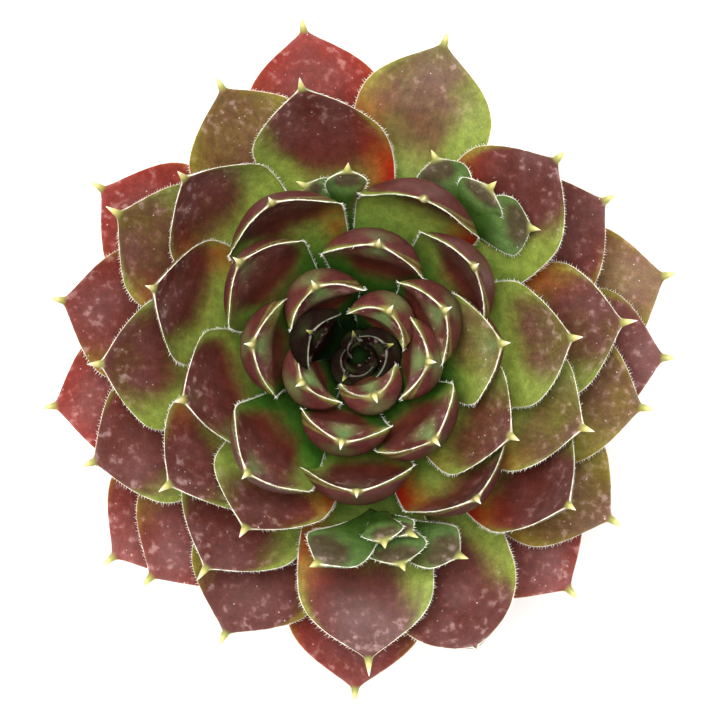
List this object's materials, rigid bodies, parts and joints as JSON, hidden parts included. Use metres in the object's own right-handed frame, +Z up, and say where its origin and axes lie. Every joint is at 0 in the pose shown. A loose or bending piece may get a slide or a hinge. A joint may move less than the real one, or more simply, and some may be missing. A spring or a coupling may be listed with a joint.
{
  "type": "potted houseleek succulent",
  "caption": "Red and green houseleek rosette of pointed fleshy leaves in a nested spiral, with small offsets, growing in a plain tapered clay pot.",
  "frame": {"origin": "centre of the flat foot of the pot, where it stands", "axes": "+Z up along the pot's axis and the plant's stem; +Y is the top of the view from above; +X is to its right"},
  "size_m": [0.0928, 0.0996, 0.0996],
  "materials": {
    "clay": "matte",
    "potting_grit": "matte",
    "stem_bark": "matte",
    "young_leaf": "satin",
    "leaf": "satin",
    "old_leaf": "satin",
    "offset_leaf": "satin"
  },
  "bodies": {
    "root": {"heart_bud": "young_leaf", "leaf_04": "leaf", "leaf_05": "leaf", "leaf_06": "leaf", "leaf_07": "leaf", "leaf_08": "leaf", "leaf_09": "leaf", "leaf_10": "leaf", "leaf_11": "leaf", "leaf_12": "leaf", "leaf_13": "leaf", "leaf_14": "leaf", "leaf_15": "leaf", "leaf_16": "leaf", "leaf_17": "leaf", "leaf_18": "leaf", "leaf_19": "leaf", "leaf_20": "leaf", "leaf_21": "leaf", "leaf_22": "leaf", "leaf_23": "leaf", "leaf_24": "leaf", "leaf_25": "leaf", "leaf_26": "leaf", "leaf_27": "leaf", "leaf_28": "leaf", "leaf_29": "leaf", "leaf_30": "leaf", "leaf_31": "leaf", "leaf_32": "leaf", "leaf_33": "leaf", "leaf_34": "leaf", "leaf_35": "leaf", "leaf_36": "leaf", "leaf_37": "leaf", "leaf_38": "leaf", "leaf_39": "leaf", "leaf_40": "leaf", "leaf_41": "old_leaf", "leaf_42": "old_leaf", "leaf_43": "old_leaf", "leaf_44": "old_leaf", "leaf_45": "old_leaf", "leaf_46": "old_leaf", "leaf_48": "old_leaf", "leaf_49": "old_leaf", "leaf_50": "old_leaf", "leaf_51": "old_leaf", "leaf_53": "old_leaf", "leaf_54": "old_leaf", "leaf_55": "old_leaf", "leaf_57": "old_leaf", "leaf_61": "old_leaf", "offset_back": "offset_leaf", "offset_back_small": "offset_leaf", "offset_front": "offset_leaf", "pot": "clay", "soil": "potting_grit", "stem": "stem_bark"}
  },
  "joints": []
}
